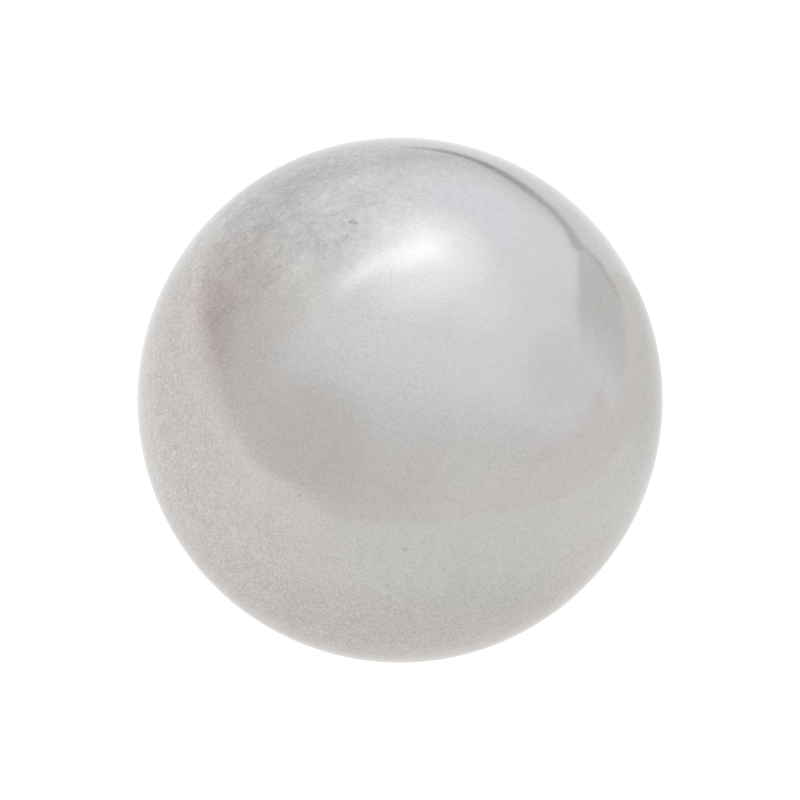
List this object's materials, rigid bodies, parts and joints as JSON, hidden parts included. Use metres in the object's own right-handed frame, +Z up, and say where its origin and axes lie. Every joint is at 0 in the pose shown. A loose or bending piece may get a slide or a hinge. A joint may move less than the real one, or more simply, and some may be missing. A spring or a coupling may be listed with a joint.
{
  "type": "steel ball",
  "caption": "Loose solid steel ball, one plain ground sphere with a satin-bright surface, for rolling, bearing or weighting.",
  "frame": {"origin": "the ball's centre", "axes": "+Z up from the seat the ball rests on; the ball is alike in every direction"},
  "size_m": [0.0254, 0.0254, 0.0254],
  "materials": {
    "steel": "polished"
  },
  "bodies": {
    "root": {"steel_ball": "steel"}
  },
  "joints": []
}
